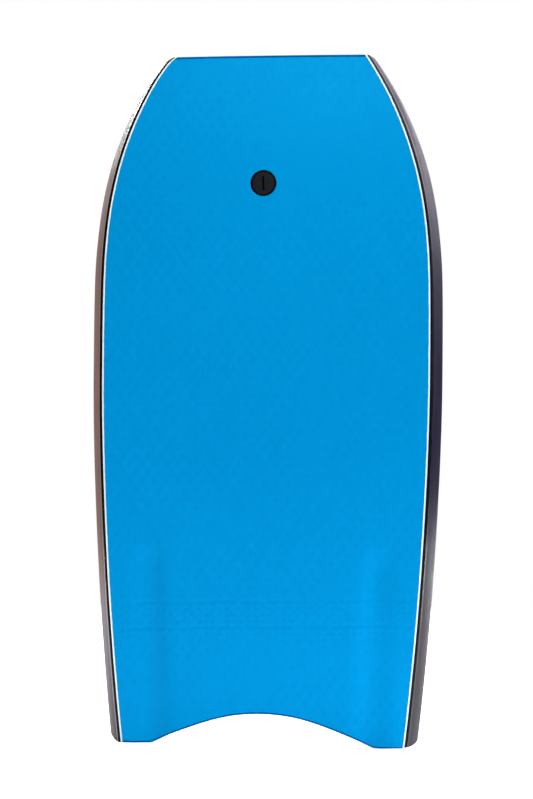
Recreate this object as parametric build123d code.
from build123d import *
import os
from math import atan, cos, sin, sqrt, tan

os.makedirs("parts", exist_ok=True)

# Bodyboard, a foam prone surfboard of the 41 inch class, with bonded skins and
# rails and a screwed leash plug. Millimetres.
#
# Frame: the board stands upright on its two tail pegs. +Z runs from the tail
# to the nose, +X to the right when looking at the slick (underside), the slick
# faces -Y and the riding deck faces +Y. The origin is on the centreline, at
# the level of the tail pegs, half way through the thickest section.
# A "depth" is measured along +Y from the flat slick plane.

# --- board outline -----------------------------------------------------------
LENGTH = 1041.0            # nose edge to tail pegs
THICK_MAX = 57.0           # slick plane to deck at the thickest section
Y_SLICK = -THICK_MAX / 2   # y of the flat slick plane

# (z, half width of the underside out to the pinline's outer edge)
PLAN = [(-20, 210.6), (0, 212.8), (30, 216.1), (60, 219.3), (100, 223.2),
        (140, 226.9), (180, 230.3), (220, 233.4), (260, 236.1), (300, 238.5),
        (340, 240.7), (380, 242.6), (420, 244.3), (460, 245.6), (500, 246.6),
        (540, 247.1), (580, 247.2), (620, 247.2), (660, 247.0), (700, 246.3),
        (725, 245.4), (750, 243.8), (775, 241.5), (800, 238.4), (825, 234.3),
        (850, 229.1), (875, 222.8), (900, 215.3), (920, 208.5), (940, 200.9),
        (960, 192.5), (980, 183.2), (1000, 173.0), (1014, 165.2),
        (1028, 157.0), (1041, 148.9), (1060, 136.1)]
# (z, distance of the rail's apex outside the pinline)
RAIL_OUT = [(-20, 19.2), (60, 19.4), (700, 19.3), (780, 18.5), (850, 18.0),
            (900, 17.2), (945, 15.6), (980, 14.2), (1005, 13.0),
            (1025, 12.0), (1041, 11.2), (1060, 10.4)]
# (z, slick plane to deck)
THICK = [(-20, 46.0), (0, 47.0), (60, 50.0), (140, 53.5), (240, 56.0),
         (340, THICK_MAX), (560, THICK_MAX), (660, 56.2), (760, 54.0),
         (850, 50.0), (920, 44.5), (980, 38.0), (1020, 33.5), (1041, 31.0),
         (1060, 29.0)]
# z of the cross-sections that every skinned piece runs through
SECTIONS = [-14, 4, 22, 45, 75, 110, 150, 190, 230, 262, 274, 286, 296, 303,
            308, 345, 390, 440, 500, 560, 620, 680, 720, 755, 785, 815, 845,
            866, 884, 902, 920, 938, 956, 974, 992, 1010, 1026, 1041, 1055]

NOSE_LIFT = 20.0           # rocker of the nose, out of the slick plane
LIFT_START = 866.0         # z where the rocker begins
LIFT_POWER = 1.8

# --- layers and rails --------------------------------------------------------
SLICK_T = 1.2              # plastic skin
LAMINATE_T = 1.8           # dense foam
MESH_T = 0.4               # mesh layer
BOTTOM_T = SLICK_T + LAMINATE_T + MESH_T
# depths of the surfaces between the layers of the underside, levels 0 to 3
LEVELS = (0.0, SLICK_T, SLICK_T + LAMINATE_T, BOTTOM_T)
DECK_T = 6.0               # deck skin
RAIL_T = 9.0               # rail strips, sideways at the apex
PINLINE_W = 3.2            # white strip, square to the edge
LIP_W = 3.4                # flat lip of the lower rail beside the pinline
LIP_RISE = 0.7             # depth of the lip's outer edge
STEP_OUT, STEP_DEPTH = 1.6, 3.2     # step outside the lip
FLANK_SHARE = 0.58         # place of the flank point from step to apex
FLANK_BULGE = 0.5          # outward push of the flank point
APEX_RATIO = 0.55          # height of the rail apex over the thickness
BELOW_IN, BELOW_DROP = 0.7, 4.0     # rounding point under the apex
ABOVE_IN, ABOVE_RISE = 1.8, 3.6     # rounding point over the apex
UPPER_CHINE = 0.90         # inward run of the upper rail over its height
EDGE_OUT, EDGE_DROP = 2.6, 1.2      # bevel of the deck's edge

# --- tail channels in the slick ----------------------------------------------
CHANNEL_W = 60.0
CHANNEL_DEPTH = 4.5
WALL_INNER, WALL_OUTER = 0.60, 1.05   # share of the half width of each wall
CHANNEL_END = 308.0        # front end of the channels
CHANNEL_FADE = 46.0        # length over which the front end rounds off
CHANNEL_X_TAIL, CHANNEL_X_FRONT = 168.0, 178.0
CHANNEL_MIN_HALF = 4.0     # least half width, also kept ahead of the channels
CHANNEL_DRIFT = 0.12       # inward run of the flat points ahead of them

# --- tail and nose ends ------------------------------------------------------
# (x, z) along the right half of the tail's hollow
CRESCENT = [(0, 47.7), (21.8, 46.8), (45.5, 43.9), (69.1, 38.5),
            (92.7, 31.2), (116.4, 22.6), (140.0, 13.4)]
PEG_SLOPE = -0.5           # slope of the crescent where it runs into a peg
PEG_R = 14.0               # rounding of the pegs' inner corners
BAND_T = 6.0               # wraps that close the nose and tail faces
BAND_EDGE = 2.0            # width of a wrap's edge that shows past the slick
NOSE_BOW, NOSE_HALF_W = 0.7, 150.0    # bow of the nose edge at that half width
TRIM_HALF_W = 400.0        # half width of the trimming prisms
TRIM_SLAB = 200.0          # their reach to each side of y = 0

# (x, z) of three points on the rounded end of the right rail
TAIL_ARC = [(213.6, 0.0), (228.6, 4.6), (235.6, 18.0)]
NOSE_ARC = [(150.2, LENGTH - 0.6), (160.4, LENGTH - 3.6),
            (168.6, LENGTH - 10.6)]
CUT_X, CUT_Z_TAIL, CUT_Z_NOSE = 300.0, -40.0, 1100.0   # reach of the cuts

# z ranges that hold the wraps
BAND_ZONES = {"nose_band": (SECTIONS[-4] - 1, SECTIONS[-1] + 1),
              "tail_band": (SECTIONS[0] - 1, SECTIONS[5] + 1)}

# --- leash plug --------------------------------------------------------------
PLUG_X, PLUG_Z = -4.1, 843.5
HEAD_R, HEAD_T, HEAD_CHAMFER = 19.6, 2.6, 0.5
FACE_R, STEP_D, FACE_CHAMFER = 16.9, 0.9, 0.3   # raised face, step round it
FACE_OVERLAP = 0.3         # raised face's reach into the head
HEAD_SINK = 0.15           # depth of the head's face
HEAD_BACK = HEAD_SINK + HEAD_T
RECESS_R, RECESS_D = 20.2, 4.25       # recess for the head
SEAL_R, SEAL_IN_R, SEAL_GAP = 18.0, 8.6, 0.05
SHANK_R, SHANK_CLEAR, SHANK_CHAMFER = 8.0, 0.06, 1.2
THREAD_LEN = 15.0          # engaged length
SHANK_BORE = 26.0          # length of the barrel's bore
SLOT_L, SLOT_W, SLOT_D, SLOT_TILT = 20.5, 2.3, 1.9, -2.4
BARREL_R = 11.0
CUP_R, CUP_WALL, CUP_DEPTH = 13.0, 2.6, 14.0
CUP_OUT_R = CUP_R + CUP_WALL
CUP_BASE = 34.0            # depth of the cup's outer bottom
FLANGE_R, FLANGE_T, FLANGE_CHAMFER = 20.0, 3.0, 1.0
FLANGE_RECESS_R = 20.3
GASKET_T = 1.0
FLANGE_FLOOR = 47.0        # depth of the floor of the flange's recess
FLANGE_BASE = FLANGE_FLOOR + GASKET_T
FLANGE_TOP = FLANGE_BASE + FLANGE_T
PIN_R, PIN_DEPTH = 1.6, 43.5
OVERLAP = 0.5              # sinks joined bars into each other
OVERCUT = 1.0              # carries cuts past the faces they open
ABOVE_DECK = 60.0          # depth clear of the deck

# --- stringer ----------------------------------------------------------------
STRINGER_R, STRINGER_WALL, STRINGER_DEPTH = 5.0, 1.2, 28.0
STRINGER_Z0, STRINGER_Z1, STRINGER_CAP = 100.0, 780.0, 5.0


# ---------------------------------------------------------------------------
# Cross-sections: every skinned piece is a closed ring of named points in each
# of the sections. Neighbours share their points, so they meet face to face.
# ---------------------------------------------------------------------------

def table(rows, z):
    """Smooth reading of a table: a Catmull-Rom curve through its rows."""
    z = min(max(z, rows[0][0]), rows[-1][0])
    k = 0
    while k < len(rows) - 2 and z > rows[k + 1][0]:
        k += 1
    (z0, value0), (z1, value1) = rows[k], rows[k + 1]
    span = z1 - z0

    def rise(i):
        low, high = max(i - 1, 0), min(i + 1, len(rows) - 1)
        return (rows[high][1] - rows[low][1]) / (rows[high][0] - rows[low][0]) * span

    t = (z - z0) / span
    return ((2 * t**3 - 3 * t**2 + 1) * value0 + (t**3 - 2 * t**2 + t) * rise(k)
            + (3 * t**2 - 2 * t**3) * value1 + (t**3 - t**2) * rise(k + 1))


def lift(z):
    """Rocker of the whole section at z."""
    if z <= LIFT_START:
        return 0.0
    return NOSE_LIFT * ((z - LIFT_START) / (LENGTH - LIFT_START)) ** LIFT_POWER


def channel(z):
    """Centre x, half width and depth of the tail channels at z."""
    t = (CHANNEL_END - z) / CHANNEL_FADE
    if t <= 0.0:                       # ahead of the channels the slick is flat
        return CHANNEL_X_FRONT - CHANNEL_DRIFT * (z - CHANNEL_END), CHANNEL_MIN_HALF, 0.0
    centre = CHANNEL_X_TAIL + (CHANNEL_X_FRONT - CHANNEL_X_TAIL) * z / CHANNEL_END
    t = min(t, 1.0)
    half = max(CHANNEL_MIN_HALF, CHANNEL_W / 2 * sqrt(max(0.0, 1 - (1 - t) ** 2)))
    return centre, half, CHANNEL_DEPTH * (t * t * (3 - 2 * t))


def station(z):
    """Named points (x, y) of the right half of the section at z."""
    pin_out = table(PLAN, z)
    slope = (table(PLAN, z + 2) - table(PLAN, z - 2)) / 4
    pin_in = pin_out - PINLINE_W * sqrt(1 + slope * slope)
    apex = pin_out + table(RAIL_OUT, z)
    thick = table(THICK, z)
    apex_y = APEX_RATIO * thick
    deck_x = apex - UPPER_CHINE * (thick - apex_y)
    lip = pin_out + LIP_W
    step = lip + STEP_OUT
    above = (apex - ABOVE_IN, apex_y + ABOVE_RISE)
    edge = (deck_x + EDGE_OUT, thick - EDGE_DROP)
    # the deck skin's lower face meets the upper rail on the line above-edge
    seam_y = thick - DECK_T
    share = (seam_y - above[1]) / (edge[1] - above[1])
    seam_x = above[0] + share * (edge[0] - above[0])
    points = {
        "pin_out0": (pin_out, 0), "pin_out3": (pin_out, BOTTOM_T),
        "lip": (lip, LIP_RISE), "step": (step, STEP_DEPTH),
        "flank": ((1 - FLANK_SHARE) * step + FLANK_SHARE * apex + FLANK_BULGE,
                  (1 - FLANK_SHARE) * STEP_DEPTH + FLANK_SHARE * apex_y),
        "below": (apex - BELOW_IN, apex_y - BELOW_DROP),
        "apex": (apex, apex_y), "apex_in": (apex - RAIL_T, apex_y),
        "above": above, "edge": edge, "deck": (deck_x, thick),
        "seam": (seam_x, seam_y), "seam_in": (seam_x - RAIL_T, seam_y),
    }
    centre, half, dip = channel(z)
    for level, depth in enumerate(LEVELS):
        points.update({
            f"pin_in{level}": (pin_in, depth),
            f"channel_in{level}": (centre - half, depth),
            f"floor_in{level}": (centre - half + WALL_INNER * half, depth + dip),
            f"floor_out{level}": (centre + half - WALL_OUTER * half, depth + dip),
            f"channel_out{level}": (centre + half, depth),
        })
    up = lift(z)
    return {name: (x, y + up + Y_SLICK) for name, (x, y) in points.items()}


STATIONS = [(z, station(z)) for z in SECTIONS]


def right(*names):
    return [(name, 1) for name in names]


def left(*names):
    return [(name, -1) for name in names]


def across(*names):
    """The points on the right side, then back through them on the left."""
    return right(*names) + left(*names[::-1])


def level_line(level):
    """A level's line across the whole underside, from left to right."""
    line = [f"{name}{level}" for name in
            ("pin_in", "channel_out", "floor_out", "floor_in", "channel_in")]
    return left(*line) + right(*line[::-1])


def split_key(point):
    """Order of points that gives neighbouring pieces the same diagonals."""
    return (round(abs(point[0]), 4), round(point[1], 4), round(point[0], 4))


def is_flat(a, b, c, d):
    normal = (Vector(*b) - Vector(*a)).cross(Vector(*d) - Vector(*a))
    if normal.length < 1e-9:
        return False
    return abs((Vector(*c) - Vector(*a)).dot(normal.normalized())) < 1e-6


def skin(ring):
    """Solid through the same ring of points in every section, all faces flat."""
    rows = [[(side * points[name][0], points[name][1], z) for name, side in ring]
            for z, points in STATIONS]
    polygons = [rows[0], rows[-1]]
    for low, high in zip(rows[:-1], rows[1:]):
        for i in range(len(ring)):
            j = (i + 1) % len(ring)
            a0, b0, a1, b1 = low[i], low[j], high[i], high[j]
            if is_flat(a0, b0, b1, a1):
                polygons += [(a0, b0, b1, a1)]
            elif split_key(a0) < split_key(b0):
                polygons += [(a0, b0, b1), (a0, b1, a1)]
            else:
                polygons += [(a0, b0, a1), (b0, b1, a1)]
    solid = Solid(Shell([Face(Wire.make_polygon([Vector(*point) for point in polygon]))
                         for polygon in polygons]))
    if solid.volume < 0:
        solid = Solid(solid.wrapped.Reversed())
    return solid.clean()


def layer(level):
    """Untrimmed layer of the underside between a level and the next one."""
    return skin(level_line(level) + level_line(level + 1)[::-1])


# --- trimming shapes and bars ------------------------------------------------

def mirrored(point):
    return (-point[0], point[1])


def trim_prism(inset):
    """Everything between the tail end and the nose end, moved in by inset."""
    top = LENGTH - inset
    arch = []
    last = len(CRESCENT) - 1
    for k, (x, z) in enumerate(CRESCENT):
        low, high = CRESCENT[max(k - 1, 0)], CRESCENT[min(k + 1, last)]
        slope = (high[1] - low[1]) / (high[0] - low[0])
        if k == 0:
            slope = 0.0
        elif k == last:
            slope = PEG_SLOPE
        norm = sqrt(1 + slope * slope)
        arch.append((x - slope * inset / norm, z + inset / norm))
    end = arch[-1]
    # the straight run from the arch meets the peg's level at foot,
    # and an arc rounds that corner
    foot = end[0] + (end[1] - inset) / -PEG_SLOPE
    radius = PEG_R - inset
    half_angle = atan(-PEG_SLOPE) / 2
    run = radius * tan(half_angle)
    norm = sqrt(1 + PEG_SLOPE**2)
    start = (foot - run / norm, inset - PEG_SLOPE * run / norm)
    mid = (foot + run - radius * sin(half_angle),
           inset + radius * (1 - cos(half_angle)))
    stop = (foot + run, inset)
    bottom_corner = (TRIM_HALF_W, inset)
    top_corner = (TRIM_HALF_W, top - NOSE_BOW * (TRIM_HALF_W / NOSE_HALF_W) ** 2)
    curve = [mirrored(point) for point in arch[:0:-1]] + arch
    with BuildPart() as prism:
        # sketch plane: x to the right, y up along +Z, extruded both ways in Y
        with BuildSketch(Plane.XZ):
            with BuildLine():
                Spline(*curve, tangents=[(1.0, -PEG_SLOPE), (1.0, PEG_SLOPE)])
                Line(end, start)
                ThreePointArc(start, mid, stop)
                Line(stop, bottom_corner)
                Line(bottom_corner, top_corner)
                ThreePointArc(top_corner, (0, top), mirrored(top_corner))
                Line(mirrored(top_corner), mirrored(bottom_corner))
                Line(mirrored(bottom_corner), mirrored(stop))
                ThreePointArc(mirrored(stop), mirrored(mid), mirrored(start))
                Line(mirrored(start), mirrored(end))
            make_face()
        extrude(amount=TRIM_SLAB, both=True)
    return prism.part


def corner_cut(side):
    """Material outside the rounded ends of one rail, to be cut away."""
    with BuildPart() as cut:
        with BuildSketch(Plane.XZ):
            for arc, far_z in ((TAIL_ARC, CUT_Z_TAIL), (NOSE_ARC, CUT_Z_NOSE)):
                outline = [arc[2], (CUT_X, arc[2][1]), (CUT_X, far_z),
                           (arc[0][0], far_z), arc[0]]
                with BuildLine():
                    ThreePointArc(*[(side * x, z) for x, z in arc])
                    Polyline([(side * x, z) for x, z in outline])
                make_face()
        extrude(amount=TRIM_SLAB, both=True)
    return cut.part


def plug_rod(radius, depth0, depth1):
    """Round bar on the plug's axis, along Y between two depths."""
    return Plane(origin=(PLUG_X, Y_SLICK + depth0, PLUG_Z), z_dir=(0, 1, 0)) * extrude(
        Circle(radius), amount=depth1 - depth0)


def chamfered_rod(radius, depth0, depth1, end, size):
    """Plug rod with one end chamfered: 0 is the slick end, -1 the deck end."""
    bar = plug_rod(radius, depth0, depth1)
    return chamfer(bar.edges().filter_by(GeomType.CIRCLE).sort_by(Axis.Y)[end], size)


def upright(profile, z0, z1, y=Y_SLICK + STRINGER_DEPTH):
    """Profile extruded along Z, by default on the stringer's axis."""
    return Plane(origin=(0, y, z0)) * extrude(profile, amount=z1 - z0)


def save(name, part):
    """Write the largest solid of a part."""
    solid = sorted(part.solids(), key=lambda s: s.volume)[-1]
    assert solid.is_valid, name
    solid.label = name
    export_step(solid, f"parts/{name}.step")


OUTER = trim_prism(0.0)
OUTER_SLICK = trim_prism(BAND_EDGE)
OUTER_CORE = trim_prism(BAND_T)
CORNER = {side: corner_cut(side) for side in (1, -1)}
HEAD_RECESS = plug_rod(RECESS_R, -5, RECESS_D)
CUP_SPACE = plug_rod(CUP_OUT_R, CUP_BASE, ABOVE_DECK)

# --- slick skin, dense foam and mesh -----------------------------------------
slick_full = layer(0)
save("slick_bottom", (slick_full & OUTER_SLICK) - HEAD_RECESS)
save("bottom_laminate", (layer(1) & OUTER_CORE) - HEAD_RECESS)
save("reinforcement_mesh", (layer(2) & OUTER_CORE) - HEAD_RECESS)

# --- core, hollowed for the plug and the stringer ----------------------------
core = skin(level_line(3) + across("apex_in", "seam_in"))
core = (core & OUTER_CORE) - HEAD_RECESS
core = core - plug_rod(BARREL_R, RECESS_D - OVERCUT, CUP_BASE) - CUP_SPACE
core = core - upright(Circle(STRINGER_R), 0, STRINGER_Z1 + STRINGER_CAP)
save("foam_core", core)

# --- stringer ----------------------------------------------------------------
save("stringer_tube", upright(
    Circle(STRINGER_R) - Circle(STRINGER_R - STRINGER_WALL), STRINGER_Z0, STRINGER_Z1))
save("stringer_cap_nose", upright(
    Circle(STRINGER_R), STRINGER_Z1, STRINGER_Z1 + STRINGER_CAP))
save("stringer_cap_tail", upright(Circle(STRINGER_R), 0, STRINGER_Z0) & OUTER_CORE)

# --- deck skin ---------------------------------------------------------------
deck = skin(left("seam", "seam_in") + right("seam_in", "seam", "edge", "deck")
            + left("deck", "edge")) & OUTER
deck = deck - plug_rod(FLANGE_RECESS_R, FLANGE_FLOOR, ABOVE_DECK) - CUP_SPACE
save("deck_skin", deck - CORNER[1] - CORNER[-1])

# --- rails and pinlines ------------------------------------------------------
for side, side_name, points in ((1, "right", right), (-1, "left", left)):
    lower = skin(points("pin_out0", "lip", "step", "flank", "below", "apex",
                        "apex_in", "pin_in3", "pin_out3"))
    save(f"lower_rail_{side_name}", (lower & OUTER) - CORNER[side])
    upper = skin(points("apex", "above", "seam", "seam_in", "apex_in"))
    save(f"upper_rail_{side_name}", (upper & OUTER) - CORNER[side])
    pinline = skin(points("pin_in0", "pin_out0", "pin_out3", "pin_in3",
                          "pin_in2", "pin_in1"))
    save(f"pinline_{side_name}", pinline & OUTER)

# --- wraps over the nose and tail faces --------------------------------------
inner_full = skin(level_line(1) + across("pin_in2", "pin_in3", "apex_in", "seam_in"))
for name, (z0, z1) in BAND_ZONES.items():
    zone = upright(Rectangle(800, 300), z0, z1, y=0)
    wrap = ((inner_full & OUTER) - OUTER_CORE) & zone
    shown_edge = ((slick_full & OUTER) - OUTER_SLICK) & zone
    save(name, wrap + shown_edge)

# --- leash plug, deck side ---------------------------------------------------
body = chamfered_rod(FLANGE_R, FLANGE_BASE, FLANGE_TOP, -1, FLANGE_CHAMFER)
body = body + plug_rod(CUP_OUT_R, CUP_BASE, FLANGE_BASE + OVERLAP)
body = body + plug_rod(BARREL_R, RECESS_D, CUP_BASE + OVERLAP)
body = body - plug_rod(CUP_R, FLANGE_TOP - CUP_DEPTH, ABOVE_DECK)
body = body - plug_rod(SHANK_R + SHANK_CLEAR, RECESS_D - OVERCUT, RECESS_D + SHANK_BORE)
# the pin crosses the cup along X, its ends trimmed to the cup's outside
pin = Plane(origin=(PLUG_X - CUP_OUT_R, Y_SLICK + PIN_DEPTH, PLUG_Z),
            z_dir=(1, 0, 0)) * extrude(Circle(PIN_R), amount=2 * CUP_OUT_R)
pin = pin & CUP_SPACE
save("plug_deck_body", body - pin)
save("plug_leash_pin", pin)
save("plug_deck_gasket", plug_rod(FLANGE_R, FLANGE_FLOOR, FLANGE_BASE)
     - plug_rod(CUP_OUT_R, FLANGE_FLOOR - OVERCUT, FLANGE_BASE + OVERCUT))

# --- leash plug, slick side: slotted screw and its washer --------------------
step_depth = HEAD_SINK + STEP_D
head = chamfered_rod(HEAD_R, step_depth, HEAD_BACK, 0, HEAD_CHAMFER)
head = head + chamfered_rod(FACE_R, HEAD_SINK, step_depth + FACE_OVERLAP, 0, FACE_CHAMFER)
shank = chamfered_rod(SHANK_R, HEAD_BACK - OVERLAP, RECESS_D + THREAD_LEN, -1,
                      SHANK_CHAMFER)
slot = Plane(origin=(PLUG_X, Y_SLICK - OVERCUT, PLUG_Z), x_dir=(1, 0, 0),
             z_dir=(0, 1, 0)) * extrude(
    Rot(0, 0, SLOT_TILT) * SlotOverall(SLOT_L, SLOT_W, rotation=90),
    amount=OVERCUT + HEAD_SINK + SLOT_D)
save("plug_screw", head + shank - slot)
save("plug_seal_ring", plug_rod(SEAL_R, HEAD_BACK + SEAL_GAP, RECESS_D - SEAL_GAP)
     - plug_rod(SEAL_IN_R, 0, 10))
